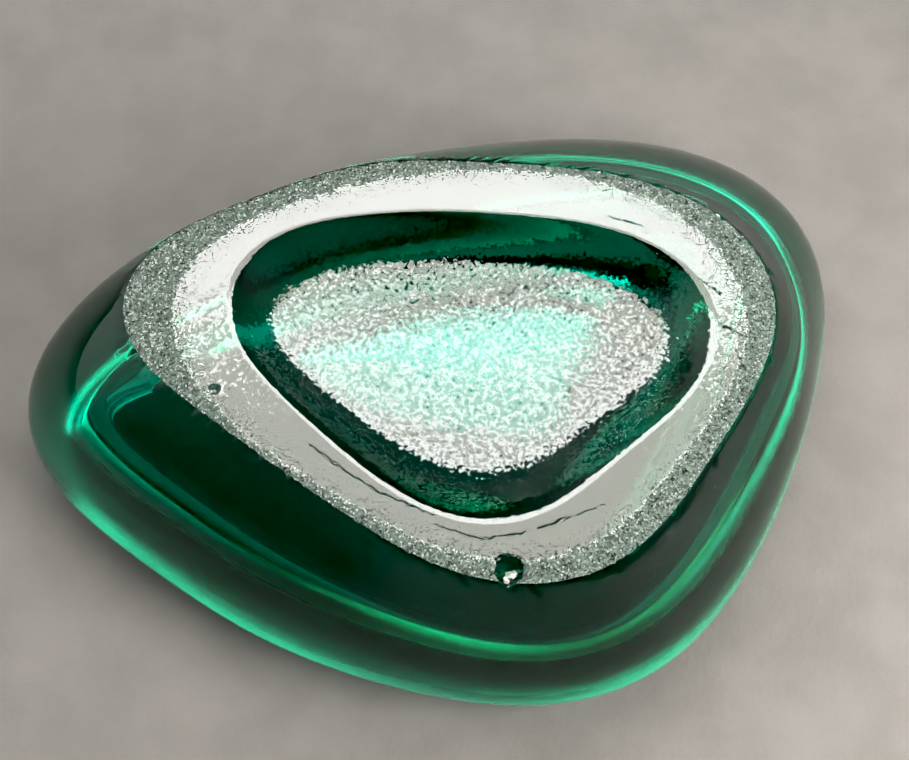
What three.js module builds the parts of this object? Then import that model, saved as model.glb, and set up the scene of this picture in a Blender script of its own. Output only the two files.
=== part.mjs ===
// A thick art glass bowl with a rounded-triangle plan, stored mouth down.
// The rim rests on z = 0 and the ground foot is the highest face.
// +X runs along the bowl's length, +Y across it, and the origin is the middle of its base.
// The bowl is hot glass built up in three masses: the outer gather (wall and floor),
// the inner gather that lines the hollow, and the foot ring that stands on the floor.
import * as THREE from 'three';

// Overall sizes, in millimetres.
const LENGTH = 150;
const WIDTH = 111.5;
const HEIGHT = 38;

// Wall: it bulges to its widest a little above the rim, then tucks in under itself.
const WIDEST_ABOVE_RIM = 7.5;
const RIM_TUCK = 7;
const WALL_BULGE = 1.8;

// How far the foot stands in from the widest outline on each side.
const FOOT_INSET = { left: 23.3, right: 17.4, near: 11.5, far: 22.2 };

// Foot ring: its width on each side, its height, and the slope of its inner face. The slope
// runs down to a floor that dishes a little; its width differs from side to side.
const RING_WIDTH = { left: 17, right: 9.8, near: 9.2, far: 10.2 };
const RECESS_DEPTH = 6;
const SLOPE_WIDTH = { left: 8.5, right: 9.5, near: 13.5, far: 8 };
const SLOPE_CURVE = 1.9;
const SLOPE_SHOULDER = 2;
const SLOPE_TOE = 0.9;
const FLOOR_DISH = 0.9;

// Rim face and the hollow behind it.
const RIM_FACE_WIDTH = 6;
const MOUTH_ARRIS = 4;
const FLOOR_THICKNESS = 8.5;
const LINING_THICKNESS = 4.6;
const HOLLOW_SQUARENESS = 2.8;

// The gap left between two masses of glass.
const JOINT_GAP = 0.3;

// Steps round an outline and along each stretch of the bowl's profile.
const AROUND = 72;
const WALL_STEPS = 8;
const TUCK_STEPS = 5;
const ARRIS_STEPS = 3;
const HOLLOW_STEPS = 9;
const DISH_STEPS = 3;
const FOOT_SIDE_STEPS = 2;
const SLOPE_STEPS = 8;
const SLOPE_CROWDING = 1.4;

// Outline shapes: a round of radius 1 with three corners that reach out of it.
// Each corner is [direction in degrees, reach, sharpness].
const BODY_SHAPE = [[45, 0.395, 5.76], [178, 0.282, 8.1], [293, 0.124, 8.6]];
const FOOT_SHAPE = [[8, 0.9, 4.5], [174, 0.4, 6.9], [304, 0.66, 4.9]];
const RECESS_SHAPE = [[6, 0.87, 4.2], [160, 0.47, 4.9], [292, 0.43, 4.5]];

const BODY_BOX = { left: -LENGTH / 2, right: LENGTH / 2, near: -WIDTH / 2, far: WIDTH / 2 };

// The box left when each side moves in by its own inset.
function insetBox(box, inset) {
  return {
    left: box.left + inset.left,
    right: box.right - inset.right,
    near: box.near + inset.near,
    far: box.far - inset.far,
  };
}

// A corner-and-round shape as AROUND points, stretched to fill a box.
function outline(shape, box) {
  const points = [];
  for (let i = 0; i < AROUND; i++) {
    const angle = (2 * Math.PI * i) / AROUND;
    let radius = 1;
    for (const [direction, reach, sharpness] of shape) {
      const away = angle - THREE.MathUtils.degToRad(direction);
      radius += reach * Math.exp(sharpness * (Math.cos(away) - 1));
    }
    points.push(new THREE.Vector2(radius * Math.cos(angle), radius * Math.sin(angle)));
  }
  const bounds = new THREE.Box2().setFromPoints(points);
  const across = bounds.getSize(new THREE.Vector2());
  for (const p of points) {
    p.x = box.left + ((p.x - bounds.min.x) / across.x) * (box.right - box.left);
    p.y = box.near + ((p.y - bounds.min.y) / across.y) * (box.far - box.near);
  }
  return points;
}

// The outline moved inwards by a distance, square to its edge.
function inset(points, distance) {
  return points.map((p, i) => {
    const before = points[(i + AROUND - 1) % AROUND];
    const after = points[(i + 1) % AROUND];
    const inward = new THREE.Vector2(before.y - after.y, after.x - before.x).normalize();
    return p.clone().addScaledVector(inward, distance);
  });
}

// The outline part of the way from one outline to another.
function between(from, to, share) {
  return from.map((p, i) => p.clone().lerp(to[i], share));
}

function atHeight(points, z) {
  return points.map((p) => new THREE.Vector3(p.x, p.y, z));
}

function middle(points) {
  const sum = new THREE.Vector2();
  points.forEach((p) => sum.add(p));
  return sum.divideScalar(points.length);
}

function step(i, count) {
  return i / count;
}

// Skins a stack of rings, listed so that their outside lies to the left of the way they run.
// A stack either starts and ends on a single point or closes on itself.
function skin(rings, closed) {
  const positions = [];
  const starts = rings.map((ring) => {
    const start = positions.length / 3;
    ring.forEach((p) => positions.push(p.x, p.y, p.z));
    return start;
  });
  const corner = (ring, i) => starts[ring] + (rings[ring].length > 1 ? i % AROUND : 0);
  const faces = [];
  const links = closed ? rings.length : rings.length - 1;
  for (let ring = 0; ring < links; ring++) {
    const next = (ring + 1) % rings.length;
    for (let i = 0; i < AROUND; i++) {
      const [a, b] = [corner(ring, i), corner(ring, i + 1)];
      const [c, d] = [corner(next, i), corner(next, i + 1)];
      if (a !== b) faces.push(a, c, b);
      if (c !== d) faces.push(b, c, d);
    }
  }
  const geometry = new THREE.BufferGeometry();
  geometry.setAttribute('position', new THREE.Float32BufferAttribute(positions, 3));
  geometry.setIndex(faces);
  geometry.computeVertexNormals();
  return geometry;
}

const bodyOutline = outline(BODY_SHAPE, BODY_BOX);
const footBox = insetBox(BODY_BOX, FOOT_INSET);
const footOutline = outline(FOOT_SHAPE, footBox);
const recessBox = insetBox(footBox, RING_WIDTH);
const recessOutline = outline(RECESS_SHAPE, recessBox);
const floorOutline = outline(RECESS_SHAPE, insetBox(recessBox, SLOPE_WIDTH));
const rimOutline = inset(bodyOutline, RIM_TUCK);
const mouthOutline = inset(rimOutline, RIM_FACE_WIDTH + MOUTH_ARRIS);
const axis = middle(mouthOutline);

const RECESS_FLOOR = HEIGHT - RECESS_DEPTH;
const HOLLOW_DEPTH = RECESS_FLOOR - FLOOR_THICKNESS;

// The outside of the wall at a height between the widest outline and the foot.
function wallAt(z) {
  const down = (HEIGHT - z) / (HEIGHT - WIDEST_ABOVE_RIM);
  return atHeight(between(footOutline, bodyOutline, 1 - (1 - down) ** WALL_BULGE), z);
}

// The wall from a height down to the widest outline, then round its tuck to the rim face.
function outsideFrom(top) {
  const rings = [];
  for (let i = 0; i <= WALL_STEPS; i++) {
    rings.push(wallAt(THREE.MathUtils.lerp(top, WIDEST_ABOVE_RIM, step(i, WALL_STEPS))));
  }
  for (let i = 1; i <= TUCK_STEPS; i++) {
    const turn = (Math.PI / 2) * step(i, TUCK_STEPS);
    const tucked = inset(bodyOutline, RIM_TUCK * (1 - Math.cos(turn)));
    rings.push(atHeight(tucked, WIDEST_ABOVE_RIM * (1 - Math.sin(turn))));
  }
  return rings;
}

// A surface that follows the hollow at a distance from it, from its foot up to its crown.
function hollowSurface(distance, from) {
  const edge = inset(mouthOutline, -distance);
  const depth = HOLLOW_DEPTH + distance;
  const firstTurn = Math.asin((from / depth) ** (HOLLOW_SQUARENESS / 2));
  const rings = [];
  for (let i = 0; i < HOLLOW_STEPS; i++) {
    const turn = THREE.MathUtils.lerp(firstTurn, Math.PI / 2, step(i, HOLLOW_STEPS));
    const share = Math.cos(turn) ** (2 / HOLLOW_SQUARENESS);
    const ring = edge.map((p) => axis.clone().lerp(p, share));
    rings.push(atHeight(ring, depth * Math.sin(turn) ** (2 / HOLLOW_SQUARENESS)));
  }
  rings.push([new THREE.Vector3(axis.x, axis.y, depth)]);
  return rings;
}

// The rounded edge where the rim face turns up into the hollow.
function mouthArris() {
  const rings = [];
  for (let i = 0; i < ARRIS_STEPS; i++) {
    const turn = (Math.PI / 2) * step(i, ARRIS_STEPS);
    const ring = inset(mouthOutline, -MOUTH_ARRIS * (1 - Math.sin(turn)));
    rings.push(atHeight(ring, MOUTH_ARRIS * (1 - Math.cos(turn))));
  }
  return rings;
}

function glass(name, geometry, colour, roughness) {
  const material = new THREE.MeshStandardMaterial({ color: colour, roughness, metalness: 0 });
  const mesh = new THREE.Mesh(geometry, material);
  mesh.name = name;
  return mesh;
}

// The wall and floor of the bowl, hollow where the inner gather sits.
function outerGather() {
  const centre = middle(floorOutline);
  const lining = LINING_THICKNESS + JOINT_GAP;
  const rings = [[new THREE.Vector3(centre.x, centre.y, RECESS_FLOOR - FLOOR_DISH)]];
  for (let i = 1; i <= DISH_STEPS; i++) {
    const share = step(i, DISH_STEPS);
    const ring = floorOutline.map((p) => centre.clone().lerp(p, share));
    rings.push(atHeight(ring, RECESS_FLOOR - FLOOR_DISH * (1 - share ** 2)));
  }
  rings.push(...outsideFrom(RECESS_FLOOR));
  rings.push(atHeight(inset(mouthOutline, -lining), 0), ...hollowSurface(lining, 0).slice(1));
  return glass('outer_gather', skin(rings, false), 0x0b6b4c, 0.06);
}

// The lining of the hollow, down to its own strip of the rim face.
function innerGather() {
  const back = hollowSurface(LINING_THICKNESS, 0).reverse();
  const rings = [...back, ...mouthArris(), ...hollowSurface(0, MOUTH_ARRIS)];
  return glass('inner_gather', skin(rings, false), 0x0f8a60, 0.05);
}

// The foot: a ring with a flat ground face and an inner face that slopes to the floor.
function footRing() {
  const foot = RECESS_FLOOR + JOINT_GAP;
  const rings = [atHeight(footOutline, HEIGHT)];
  for (let i = 1; i <= FOOT_SIDE_STEPS; i++) {
    const z = THREE.MathUtils.lerp(HEIGHT, foot, step(i, FOOT_SIDE_STEPS));
    rings.push(wallAt(z));
  }
  rings.push(atHeight(floorOutline, foot));
  const toe = foot + SLOPE_TOE;
  for (let i = 0; i <= SLOPE_STEPS; i++) {
    const share = 1 - (1 - step(i, SLOPE_STEPS)) ** SLOPE_CROWDING;
    const rise = 1 - (1 - share ** SLOPE_CURVE) ** SLOPE_SHOULDER;
    const ring = between(floorOutline, recessOutline, share);
    rings.push(atHeight(ring, THREE.MathUtils.lerp(toe, HEIGHT, rise)));
  }
  return glass('foot_ring', skin(rings, true), 0xa9b3ab, 0.6);
}

const bowl = new THREE.Group();
bowl.add(outerGather(), innerGather(), footRing());

export default bowl;
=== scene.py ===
"""Looks of the art glass bowl: one closed body of emerald glass around the CAD frame.

The bowl lies mouth down, its rim on z = 0 and its ground foot uppermost.
Sizes in this script are in millimetres until a mesh is made, and then in metres.
"""

import bpy
import math
import numpy as np
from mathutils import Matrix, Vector, noise


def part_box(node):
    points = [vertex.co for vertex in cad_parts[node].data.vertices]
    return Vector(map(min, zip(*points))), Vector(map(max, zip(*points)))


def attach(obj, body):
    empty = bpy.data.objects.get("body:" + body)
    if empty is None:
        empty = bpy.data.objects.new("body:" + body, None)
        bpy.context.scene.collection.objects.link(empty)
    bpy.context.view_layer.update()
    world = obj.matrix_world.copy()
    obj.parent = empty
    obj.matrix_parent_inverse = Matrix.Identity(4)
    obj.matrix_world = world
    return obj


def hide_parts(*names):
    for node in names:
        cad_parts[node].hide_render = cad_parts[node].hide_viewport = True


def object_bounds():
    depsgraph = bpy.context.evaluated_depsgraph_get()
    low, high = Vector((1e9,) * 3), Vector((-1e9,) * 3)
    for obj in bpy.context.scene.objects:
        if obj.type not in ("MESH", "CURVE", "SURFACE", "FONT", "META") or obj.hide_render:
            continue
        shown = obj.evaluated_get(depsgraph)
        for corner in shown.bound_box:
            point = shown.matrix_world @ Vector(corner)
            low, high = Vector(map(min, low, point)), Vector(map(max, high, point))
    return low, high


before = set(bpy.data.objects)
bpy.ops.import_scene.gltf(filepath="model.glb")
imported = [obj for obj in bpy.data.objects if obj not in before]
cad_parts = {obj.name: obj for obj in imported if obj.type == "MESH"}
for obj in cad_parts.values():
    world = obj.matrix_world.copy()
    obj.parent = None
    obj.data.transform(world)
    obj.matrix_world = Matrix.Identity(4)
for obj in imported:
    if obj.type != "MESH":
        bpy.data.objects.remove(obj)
cad_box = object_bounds()

MM = 0.001

# Overall sizes, from the frame.
LOW, HIGH = [np.array(corner) / MM for corner in cad_box]
HEIGHT = HIGH[2]
RECESS_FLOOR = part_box("outer_gather")[1].z / MM
LINING_THICKNESS = 4.6
HOLLOW_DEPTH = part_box("inner_gather")[1].z / MM - LINING_THICKNESS

# Wall and rim, as the CAD has them.
WIDEST_ABOVE_RIM = 7.5
RIM_TUCK = 7
WALL_BULGE = 1.8
RIM_FACE_WIDTH = 6
MOUTH_ARRIS = 4
HOLLOW_SQUARENESS = 2.8

# Foot: how far it stands in from the widest outline, and the width of its ring.
# The order of the sides is left, right, near, far.
FOOT_INSET = (23.3, 17.4, 11.5, 22.2)
RING_WIDTH = (17, 9.8, 9.2, 10.2)
GROUND_BAND = (8.7, 5.5, 3.9, 2.4)
SLOPE_WIDTH = (8.5, 9.5, 13.5, 8)
SLOPE_CURVE = 1.9
SLOPE_SHOULDER = 2
FLOOR_DISH = 0.9
FLOOR_LEAN = 0.035
FOOT_CHAMFER = 0.22

# Outline shapes: a round of radius 1 with three corners that reach out of it.
# Each corner is (direction in degrees, reach, sharpness).
BODY_SHAPE = ((45, 0.395, 5.76), (178, 0.282, 8.1), (293, 0.124, 8.6))
FOOT_SHAPE = ((8, 0.9, 4.5), (174, 0.4, 6.9), (304, 0.66, 4.9))
RECESS_SHAPE = ((6, 0.87, 4.2), (160, 0.47, 4.9), (292, 0.43, 4.5))
POLISHED_SHAPE = ((10, 0.75, 2.4), (164, 0.22, 5.1), (297, 0.45, 6.4))

# The open bubble at the near edge of the foot, and the pit in the ring's left front.
BUBBLE = (12.2, -42.0)
BUBBLE_RADIUS = 2.3
BUBBLE_MOUTH = 2.2
PIT = (-35.3, -11.6)

# Small chips in the face of the foot.
CHIPS = ((-51.0, -2.8), (57.2, 11.0), (46.8, -25.6), (46.0, -27.0))

# Lines left in the foot face: the wrinkle where it chilled, in two parts, and three scratches.
CREASES = (
    ((-19.2, -21.3), (-13.5, -25.8), (-7.9, -29.4), (0.8, -33.2)),
    ((0.8, -34.9), (4.6, -36.0), (7.7, -37.1), (13.1, -36.4), (18.6, -34.8), (27.3, -31.5)),
    ((46.6, 1.3), (52.6, -2.0)),
    ((44.5, 9.8), (48.6, 6.4)),
    ((30.4, 21.6), (36.2, 19.9)),
)

# Light of the room away from the lamps: (azimuth, elevation, brightness, reach in degrees).
FAR_WORLD = 0.03
GLOWS = ((-60, 25, 1.0, 52), (95, 22, 0.3, 45))

# Ripple in the glass: full on the recess floor, fading up its slope to the ring.
PEEL_AT_SLOPE_TOP = 0.12
PEEL_ON_RING = 0.25

# Values of the mesh attributes, in millimetres, where a place is not ground or not near a line.
NOT_GROUND = -6.0
NO_LINE = 9.0

# Mesh steps round the bowl and along each stretch of its profile.
AROUND = 720
FLOOR_STEPS = 18
SLOPE_STEPS = 20
SLOPE_CROWDING = 1.4
ARRIS_STEPS = 5
RING_STEPS = 36
WALL_STEPS = 26
WALL_CROWDING = 1.15
TUCK_STEPS = 8
RIM_STEPS = 3
HOLLOW_STEPS = 16


# ---------------------------------------------------------------- outlines

def inset_box(box, sides):
    left, right, near, far = sides
    return (box[0] + left, box[1] - right, box[2] + near, box[3] - far)


def outline(shape, box):
    """The corner-and-round shape as AROUND points, stretched to fill a box."""
    angle = np.arange(AROUND) / AROUND * 2 * math.pi
    radius = np.ones(AROUND)
    for direction, reach, sharpness in shape:
        radius += reach * np.exp(sharpness * (np.cos(angle - math.radians(direction)) - 1))
    points = np.stack([radius * np.cos(angle), radius * np.sin(angle)], axis=1)
    share = (points - points.min(0)) / (points.max(0) - points.min(0))
    low = np.array([box[0], box[2]])
    high = np.array([box[1], box[3]])
    return low + share * (high - low)


def outward(points):
    """Unit vectors square to a closed outline, pointing out of it."""
    along = np.roll(points, -1, axis=0) - np.roll(points, 1, axis=0)
    square = np.stack([along[:, 1], -along[:, 0]], axis=1)
    return square / np.linalg.norm(square, axis=1)[:, None]


def inset(points, distance):
    return points - outward(points) * distance


def at_height(points, z):
    return np.column_stack([points, np.full(len(points), float(z))])


def mix(a, b, share):
    return a + (b - a) * share


BODY_BOX = (LOW[0], HIGH[0], LOW[1], HIGH[1])
FOOT_BOX = inset_box(BODY_BOX, FOOT_INSET)
body_outline = outline(BODY_SHAPE, BODY_BOX)
foot_outline = outline(FOOT_SHAPE, FOOT_BOX)
RECESS_BOX = inset_box(FOOT_BOX, RING_WIDTH)
recess_outline = outline(RECESS_SHAPE, RECESS_BOX)
floor_outline = outline(RECESS_SHAPE, inset_box(RECESS_BOX, SLOPE_WIDTH))
polished_outline = outline(POLISHED_SHAPE, inset_box(FOOT_BOX, GROUND_BAND))
rim_outline = inset(body_outline, RIM_TUCK)
mouth_outline = inset(rim_outline, RIM_FACE_WIDTH + MOUTH_ARRIS)
hollow_axis = mouth_outline.mean(0)
recess_axis = floor_outline.mean(0)


# ---------------------------------------------------------------- the glass, as a stack of rings

def recess_floor(points, share):
    """Height of the recess floor: a shallow dish that leans a little to the near side."""
    lean = FLOOR_LEAN * (points[:, 1] - recess_axis[1])
    return RECESS_FLOOR - FLOOR_DISH * (1 - share ** 2) + lean


def recess_rings():
    """The recess from the middle of its floor, up its slope, to its soft upper edge."""
    rings = []
    for i in range(1, FLOOR_STEPS + 1):
        share = i / FLOOR_STEPS
        ring = mix(recess_axis, floor_outline, share)
        rings.append(np.column_stack([ring, recess_floor(ring, share)]))
    foot_of_slope = recess_floor(floor_outline, 1)
    for i in range(1, SLOPE_STEPS + 1):
        share = 1 - (1 - i / SLOPE_STEPS) ** SLOPE_CROWDING
        rise = 1 - (1 - share ** SLOPE_CURVE) ** SLOPE_SHOULDER
        ring = mix(floor_outline, recess_outline, share)
        rings.append(np.column_stack([ring, mix(foot_of_slope, HEIGHT, rise)]))
    return rings


def ring_face_rings():
    """The flat top of the foot ring and the small chamfer at its outer edge."""
    outer = inset(foot_outline, FOOT_CHAMFER)
    shares = [i / RING_STEPS for i in range(1, RING_STEPS + 1)]
    return [at_height(mix(recess_outline, outer, share), HEIGHT) for share in shares]


def wall_rings():
    """The outside of the wall, from the chamfer down to the widest outline."""
    rings = []
    top = HEIGHT - FOOT_CHAMFER
    for i in range(WALL_STEPS + 1):
        z = mix(top, WIDEST_ABOVE_RIM, (i / WALL_STEPS) ** WALL_CROWDING)
        down = (HEIGHT - z) / (HEIGHT - WIDEST_ABOVE_RIM)
        rings.append(at_height(mix(foot_outline, body_outline, 1 - (1 - down) ** WALL_BULGE), z))
    return rings


def rim_rings():
    """The tuck under the wall, the flat rim face and the rounded edge of the mouth."""
    rings = []
    for i in range(1, TUCK_STEPS + 1):
        turn = math.pi / 2 * i / TUCK_STEPS
        ring = inset(body_outline, RIM_TUCK * (1 - math.cos(turn)))
        rings.append(at_height(ring, WIDEST_ABOVE_RIM * (1 - math.sin(turn))))
    for i in range(1, RIM_STEPS + 1):
        rings.append(at_height(inset(rim_outline, RIM_FACE_WIDTH * i / RIM_STEPS), 0))
    for i in range(1, ARRIS_STEPS):
        turn = math.pi / 2 * i / ARRIS_STEPS
        ring = inset(mouth_outline, -MOUTH_ARRIS * (1 - math.sin(turn)))
        rings.append(at_height(ring, MOUTH_ARRIS * (1 - math.cos(turn))))
    return rings


def hollow_rings():
    """The hollow, from the edge of the mouth up to just short of its crown."""
    power = 2 / HOLLOW_SQUARENESS
    first = math.asin((MOUTH_ARRIS / HOLLOW_DEPTH) ** (1 / power))
    rings = []
    for i in range(HOLLOW_STEPS):
        turn = mix(first, math.pi / 2, i / HOLLOW_STEPS)
        ring = mix(hollow_axis, mouth_outline, math.cos(turn) ** power)
        rings.append(at_height(ring, HOLLOW_DEPTH * math.sin(turn) ** power))
    return rings


def skin(rings, first, last):
    """Vertices and faces of rings closed at each end by a fan to a point."""
    points = np.vstack([first[None], *rings, last[None]])
    columns = np.arange(AROUND)
    following = (columns + 1) % AROUND
    faces = []
    for r in range(len(rings) - 1):
        a = 1 + r * AROUND
        b = a + AROUND
        faces.append(np.stack([a + columns, b + columns, b + following, a + following], axis=1))
    quads = np.vstack(faces)
    end = 1 + (len(rings) - 1) * AROUND
    opening = np.stack([np.zeros(AROUND, int), 1 + columns, 1 + following], axis=1)
    closing = np.stack([end + columns, np.full(AROUND, len(points) - 1), end + following], axis=1)
    return points, quads.tolist() + opening.tolist() + closing.tolist()


# ---------------------------------------------------------------- marks of making and use

def smooth(low, high, value):
    share = np.clip((value - low) / (high - low), 0, 1)
    return share * share * (3 - 2 * share)


def signed_distance(points, edge):
    """How far each plan point lies outside (+) or inside (-) a closed outline."""
    normals = outward(edge)
    result = np.empty(len(points))
    for start in range(0, len(points), 2000):
        away = points[start:start + 2000, None] - edge[None]
        nearest = (away ** 2).sum(2).argmin(1)
        rows = np.arange(len(nearest))
        result[start:start + 2000] = (away[rows, nearest] * normals[nearest]).sum(1)
    return result


def noise_at(points, scale, seed):
    """Smooth noise between about -1 and 1, with features a scale wide."""
    shift = Vector((seed * 17.3, seed * 5.1, seed * 9.7))
    return np.array([noise.noise(Vector(p) / scale + shift) for p in points.tolist()])


def scoop(points, centre, radius, depth, ragged, seed):
    """Sinks a shell-shaped hollow, deepest at its centre, with a ragged edge."""
    away = np.linalg.norm(points[:, :2] - np.array(centre[:2]), axis=1)
    near = np.flatnonzero((away < radius * 1.6) & (points[:, 2] > HEIGHT - 3))
    edge = radius * (1 + ragged * noise_at(points[near], radius * 0.55, seed))
    dip = np.sqrt(np.clip(1 - (away[near] / edge) ** 2, 0, 1))
    points[near, 2] -= depth * dip


def distance_to_lines(points, lines):
    """How far each plan point lies from the nearest of some broken lines."""
    nearest = np.full(len(points), NO_LINE)
    for line in lines:
        for a, b in zip(line[:-1], line[1:]):
            a, along = np.array(a), np.array(b) - np.array(a)
            share = np.clip(((points - a) @ along) / (along @ along), 0, 1)
            away = np.linalg.norm(points - a - share[:, None] * along, axis=1)
            nearest = np.minimum(nearest, away)
    return nearest


def build_glass():
    floor_middle = np.array([*recess_axis, RECESS_FLOOR - FLOOR_DISH])
    crown = np.array([*hollow_axis, HOLLOW_DEPTH])
    stretches = (recess_rings(), ring_face_rings(), wall_rings(), rim_rings(), hollow_rings())
    rings = [ring for stretch in stretches for ring in stretch]
    points, faces = skin(rings, floor_middle, crown)

    top = np.flatnonzero(points[:, 2] > HEIGHT - 0.01)
    ground = np.full(len(points), NOT_GROUND)
    near_top = np.flatnonzero(points[:, 2] > HEIGHT - 3)
    ground[top] = signed_distance(points[top, :2], polished_outline)
    outside = signed_distance(points[near_top, :2], foot_outline)
    from_bubble = np.linalg.norm(points[:, :2] - np.array(BUBBLE), axis=1)

    wobble = np.stack([noise_at(points[top], 1.1, 11), noise_at(points[top], 1.1, 12)], axis=1)
    crease = np.full(len(points), NO_LINE)
    crease[top] = distance_to_lines(points[top, :2] + 0.5 * wobble, CREASES)

    grain = smooth(-0.8, 0.6, ground[top] + 0.7 * noise_at(points[top], 1.6, 1))
    rough = 0.5 * noise_at(points[top], 0.62, 2) + 0.5 * noise_at(points[top], 1.3, 3)
    points[top, 2] += 0.10 * grain * (rough - 0.6)

    chipping = smooth(-0.9, 0, outside) * smooth(1.2, 0, outside)
    bite = np.clip(noise_at(points[near_top], 1.25, 4) - 0.02, 0, 1)
    points[near_top, 2] -= 1.1 * chipping * bite

    scoop(points, BUBBLE, BUBBLE_RADIUS, 1.8, 0.25, 5)
    scoop(points, PIT, 0.9, 0.5, 0.4, 6)
    for k, spot in enumerate(CHIPS):
        scoop(points, spot, 0.9, 0.6, 0.6, 7 + k)

    peel = np.zeros(len(points))
    peel[0] = 1
    floor_end = 1 + AROUND * len(stretches[0])
    peel[1:floor_end] = 1
    for i in range(SLOPE_STEPS):
        start = floor_end - AROUND * (SLOPE_STEPS - i)
        fade = (1 - i / (SLOPE_STEPS - 1)) ** 1.5
        peel[start:start + AROUND] = PEEL_AT_SLOPE_TOP + (1 - PEEL_AT_SLOPE_TOP) * fade
    peel[floor_end:floor_end + AROUND * len(stretches[1])] = PEEL_ON_RING
    before_rim = 1 + AROUND * sum(len(stretch) for stretch in stretches[:3])
    satin = np.zeros(len(points))
    satin[before_rim:before_rim + AROUND * len(stretches[3])] = 1

    ground[(from_bubble < BUBBLE_MOUTH) & (points[:, 2] < HEIGHT - 0.3)] = NOT_GROUND

    mesh = bpy.data.meshes.new("bowl_glass")
    mesh.from_pydata((points * MM).tolist(), [], faces)
    mesh.polygons.foreach_set("use_smooth", [True] * len(mesh.polygons))
    for name, values in (("ground_mm", ground), ("crease_mm", crease), ("peel", peel),
                         ("satin", satin)):
        attribute = mesh.attributes.new(name, "FLOAT", "POINT")
        attribute.data.foreach_set("value", values.astype(np.float32))
    mesh.update()
    piece = bpy.data.objects.new("bowl_glass", mesh)
    bpy.context.scene.collection.objects.link(piece)
    return piece


# ---------------------------------------------------------------- materials

class Graph:
    """A material's node tree, built by short calls."""

    def __init__(self, name):
        self.material = bpy.data.materials.new(name)
        self.material.use_nodes = True
        self.tree = self.material.node_tree
        self.tree.nodes.clear()

    def add(self, kind, **settings):
        node = self.tree.nodes.new(kind)
        for key, value in settings.items():
            if hasattr(node, key):
                setattr(node, key, value)
            else:
                self.feed(node, key.replace("_", " "), value)
        return node

    def feed(self, node, name, value):
        socket = node.inputs[name]
        if isinstance(value, bpy.types.NodeSocket):
            self.tree.links.new(value, socket)
        else:
            socket.default_value = value

    def math(self, operation, a, b=0.0, clamp=False):
        node = self.add("ShaderNodeMath", operation=operation, use_clamp=clamp)
        self.feed(node, 0, a)
        self.feed(node, 1, b)
        return node.outputs[0]

    def vector(self, operation, a, b=None):
        node = self.add("ShaderNodeVectorMath", operation=operation)
        self.feed(node, 0, a)
        if b is not None:
            self.feed(node, "Scale" if operation == "SCALE" else 1, b)
        return node.outputs[0]

    def ramp(self, value, low, high, to_low=0.0, to_high=1.0):
        node = self.add("ShaderNodeMapRange", interpolation_type="SMOOTHSTEP")
        for index, number in enumerate((value, low, high, to_low, to_high)):
            self.feed(node, index, number)
        return node.outputs[0]

    def noise(self, where, scale, detail=2.0, rough=0.5):
        node = self.add("ShaderNodeTexNoise", Scale=scale, Detail=detail, Roughness=rough)
        self.feed(node, "Vector", where)
        return node.outputs["Fac"]

    def bump(self, height, distance, normal=None, strength=1.0):
        node = self.add("ShaderNodeBump", Strength=strength, Distance=distance)
        self.feed(node, "Height", height)
        if normal is not None:
            self.feed(node, "Normal", normal)
        return node.outputs["Normal"]


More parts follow.
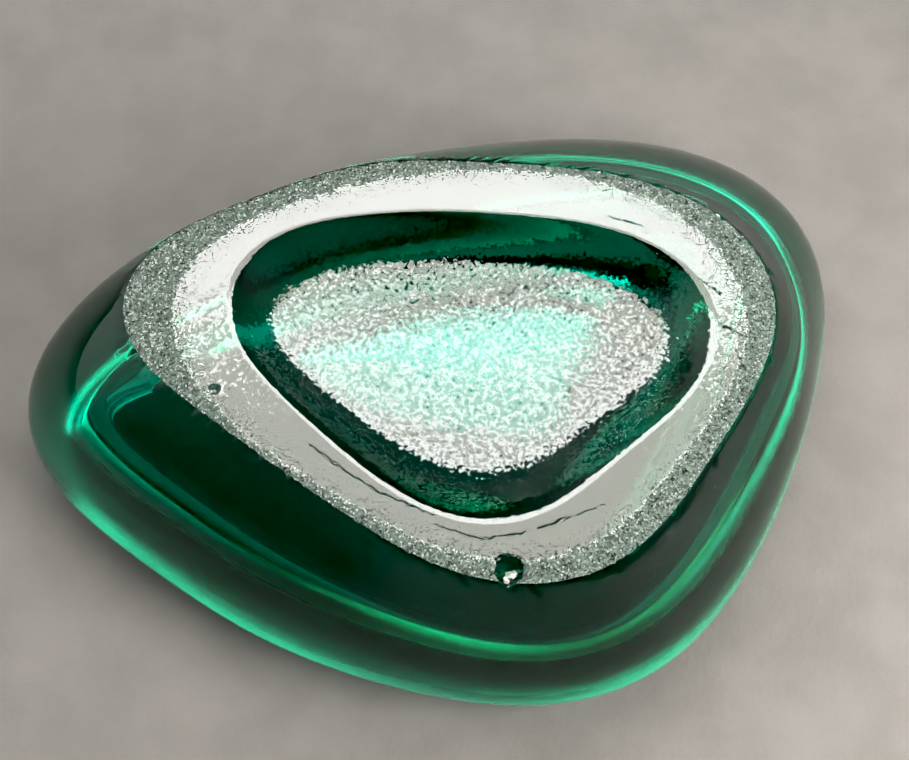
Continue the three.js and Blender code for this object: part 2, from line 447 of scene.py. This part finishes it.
def emerald_glass():
    g = Graph("emerald_glass")
    where = g.add("ShaderNodeTexCoord").outputs["Object"]
    distance = g.add("ShaderNodeAttribute", attribute_name="ground_mm").outputs["Fac"]
    rippled = g.add("ShaderNodeAttribute", attribute_name="peel").outputs["Fac"]

    patch = g.noise(where, 420, 3.0, 0.6)
    speck = g.noise(where, 2600, 2.0, 0.6)
    pits = g.math("MULTIPLY", g.math("SUBTRACT", speck, 0.52, clamp=True), 22.0)
    drift = g.math("ADD", g.math("MULTIPLY", patch, 2.6), g.math("MULTIPLY", speck, 2.6))
    reach = g.math("ADD", g.math("SUBTRACT", drift, 2.7), pits)
    ground = g.ramp(g.math("ADD", distance, reach), -0.15, 0.25)

    normal = g.add("ShaderNodeNewGeometry").outputs["Normal"]
    for scale, tilt in ((4000.0, 2.1), (1350.0, 0.7)):
        grains = g.add("ShaderNodeTexVoronoi", feature="F1", Scale=scale)
        g.feed(grains, "Vector", where)
        lean = g.vector("SUBTRACT", grains.outputs["Color"], (0.5, 0.5, 0.5))
        normal = g.vector("ADD", normal, g.vector("SCALE", lean, g.math("MULTIPLY", ground, tilt)))
    for scale, tilt in ((1350.0, 0.50), (3000.0, 0.42)):
        ripple = g.add("ShaderNodeTexNoise", Scale=scale, Detail=0.0)
        g.feed(ripple, "Vector", where)
        lean = g.vector("SUBTRACT", ripple.outputs["Color"], (0.5, 0.5, 0.5))
        normal = g.vector("ADD", normal, g.vector("SCALE", lean, g.math("MULTIPLY", rippled, tilt)))
    normal = g.vector("NORMALIZE", normal)
    crease = g.add("ShaderNodeAttribute", attribute_name="crease_mm").outputs["Fac"]
    relief = g.bump(g.ramp(crease, 0.04, 0.22), 0.00015, normal)

    surface = g.add("ShaderNodeBsdfPrincipled", IOR=1.5)
    tint = g.add("ShaderNodeMix", data_type="RGBA")
    g.feed(tint, 0, ground)
    g.feed(tint, 6, (1.0, 1.0, 1.0, 1.0))
    g.feed(tint, 7, (0.050, 0.066, 0.055, 1.0))
    g.feed(surface, "Base Color", tint.outputs[2])
    satin = g.add("ShaderNodeAttribute", attribute_name="satin").outputs["Fac"]
    polish = g.ramp(satin, 0.0, 1.0, 0.015, 0.32)
    g.feed(surface, "Roughness", g.math("ADD", polish, g.math("MULTIPLY", ground, 0.32)))
    g.feed(surface, "Transmission Weight", g.ramp(ground, 0.0, 1.0, 1.0, 0.45))
    g.feed(surface, "Normal", relief)
    inside = g.add("ShaderNodeVolumeAbsorption", Color=(0.0, 0.948, 0.930, 1.0), Density=680.0)
    out = g.add("ShaderNodeOutputMaterial")
    g.feed(out, "Surface", surface.outputs[0])
    g.feed(out, "Volume", inside.outputs[0])
    return g.material


def table_top():
    g = Graph("table_top")
    where = g.add("ShaderNodeTexCoord").outputs["Object"]
    surface = g.add("ShaderNodeBsdfPrincipled", IOR=1.45)
    shade = g.add("ShaderNodeMix", data_type="RGBA")
    g.feed(shade, 0, g.ramp(g.noise(where, 60, 5.0, 0.6), 0.3, 0.7))
    g.feed(shade, 6, (0.039, 0.037, 0.0345, 1.0))
    g.feed(shade, 7, (0.046, 0.0435, 0.041, 1.0))
    g.feed(surface, "Base Color", shade.outputs[2])
    g.feed(surface, "Roughness", 0.75)
    g.feed(surface, "Specular IOR Level", 0.2)
    g.feed(surface, "Normal", g.bump(g.noise(where, 900, 3.0), 0.0001))
    g.feed(g.add("ShaderNodeOutputMaterial"), "Surface", surface.outputs[0])
    return g.material


# ---------------------------------------------------------------- stage, light and camera

def build_table():
    size = 3.0
    mesh = bpy.data.meshes.new("table")
    corners = [(-size, -size, 0), (size, -size, 0), (size, size, 0), (-size, size, 0)]
    mesh.from_pydata(corners, [], [(0, 1, 2, 3)])
    table = bpy.data.objects.new("table", mesh)
    table.location.z = -0.00005
    bpy.context.scene.collection.objects.link(table)
    table.data.materials.append(table_top())


def softbox(name, azimuth, elevation, across, tall, radiance, colour, distance=0.6, seen=True):
    """A light seen from the bowl as a patch of sky: the azimuth and elevation of its middle,
    its width and height in degrees, and how bright its surface is. Azimuth 0 is the far side.
    A light that isn't seen lights the table but doesn't show in or through the glass."""
    width = 2 * distance * math.tan(math.radians(across / 2))
    height = 2 * distance * math.tan(math.radians(tall / 2))
    data = bpy.data.lights.new(name, "AREA")
    data.shape = "RECTANGLE"
    data.size = width
    data.size_y = height
    data.energy = radiance * math.pi * width * height
    data.color = colour
    light = bpy.data.objects.new(name, data)
    up = math.radians(elevation)
    turn = math.radians(azimuth)
    place = Vector((math.sin(turn) * math.cos(up), math.cos(turn) * math.cos(up), math.sin(up)))
    light.location = place * distance
    light.rotation_euler = place.to_track_quat("Z", "Y").to_euler()
    light.visible_glossy = seen
    light.visible_transmission = seen
    bpy.context.scene.collection.objects.link(light)


def room():
    """A dim world with a soft glow low down on the left and on the right."""
    world = bpy.data.worlds.new("room")
    world.use_nodes = True
    tree = world.node_tree
    where = tree.nodes.new("ShaderNodeTexCoord")
    strength = FAR_WORLD
    for azimuth, elevation, peak, reach in GLOWS:
        up, turn = math.radians(elevation), math.radians(azimuth)
        toward = tree.nodes.new("ShaderNodeVectorMath")
        toward.operation = "DOT_PRODUCT"
        tree.links.new(where.outputs["Generated"], toward.inputs[0])
        toward.inputs[1].default_value = (
            math.sin(turn) * math.cos(up), math.cos(turn) * math.cos(up), math.sin(up))
        lobe = tree.nodes.new("ShaderNodeMapRange")
        lobe.interpolation_type = "SMOOTHSTEP"
        lobe.inputs["From Min"].default_value = math.cos(math.radians(reach))
        lobe.inputs["To Max"].default_value = peak
        tree.links.new(toward.outputs["Value"], lobe.inputs["Value"])
        total = tree.nodes.new("ShaderNodeMath")
        total.operation = "ADD"
        tree.links.new(lobe.outputs[0], total.inputs[0])
        if isinstance(strength, float):
            total.inputs[1].default_value = strength
        else:
            tree.links.new(strength, total.inputs[1])
        strength = total.outputs[0]
    background = tree.nodes["Background"]
    background.inputs["Color"].default_value = (0.97, 0.99, 1.0, 1.0)
    tree.links.new(strength, background.inputs["Strength"])
    bpy.context.scene.world = world


def build_light():
    softbox("window", 0, 52.5, 66, 23, 21, (1.0, 0.99, 0.96))
    softbox("ceiling", 0, 75, 60, 22, 10.5, (1.0, 0.98, 0.88))
    softbox("right_glow", 115, 33, 30, 30, 95, (1.0, 0.97, 0.94), 0.33, seen=False)
    softbox("left_glow", -110, 30, 30, 30, 22, (1.0, 0.98, 0.96), 0.33, seen=False)
    room()


def build_camera():
    """Looks down on the far side of the bowl's middle from the near side."""
    elevation = math.radians(64)
    reach = 262.5 * MM
    aim = Vector((3.8, 8.7, 0)) * MM
    data = bpy.data.cameras.new("camera")
    data.lens = 53.5
    data.sensor_width = 36
    data.clip_start = 0.01
    camera = bpy.data.objects.new("camera", data)
    camera.location = aim + Vector((0, -math.cos(elevation), math.sin(elevation))) * reach
    camera.rotation_euler = (math.pi / 2 - elevation, 0, 0)
    bpy.context.scene.collection.objects.link(camera)
    bpy.context.scene.camera = camera


build_camera()
build_light()
build_table()
glass = build_glass()
glass.data.materials.append(emerald_glass())
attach(glass, "root")
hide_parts("outer_gather", "inner_gather", "foot_ring")

scene = bpy.context.scene
scene.cycles.transmission_bounces = 16
scene.cycles.max_bounces = 18
scene.view_settings.view_transform = "Standard"
scene.view_settings.use_curve_mapping = True
scene.view_settings.curve_mapping.black_level = (0.01, 0.01, 0.01)
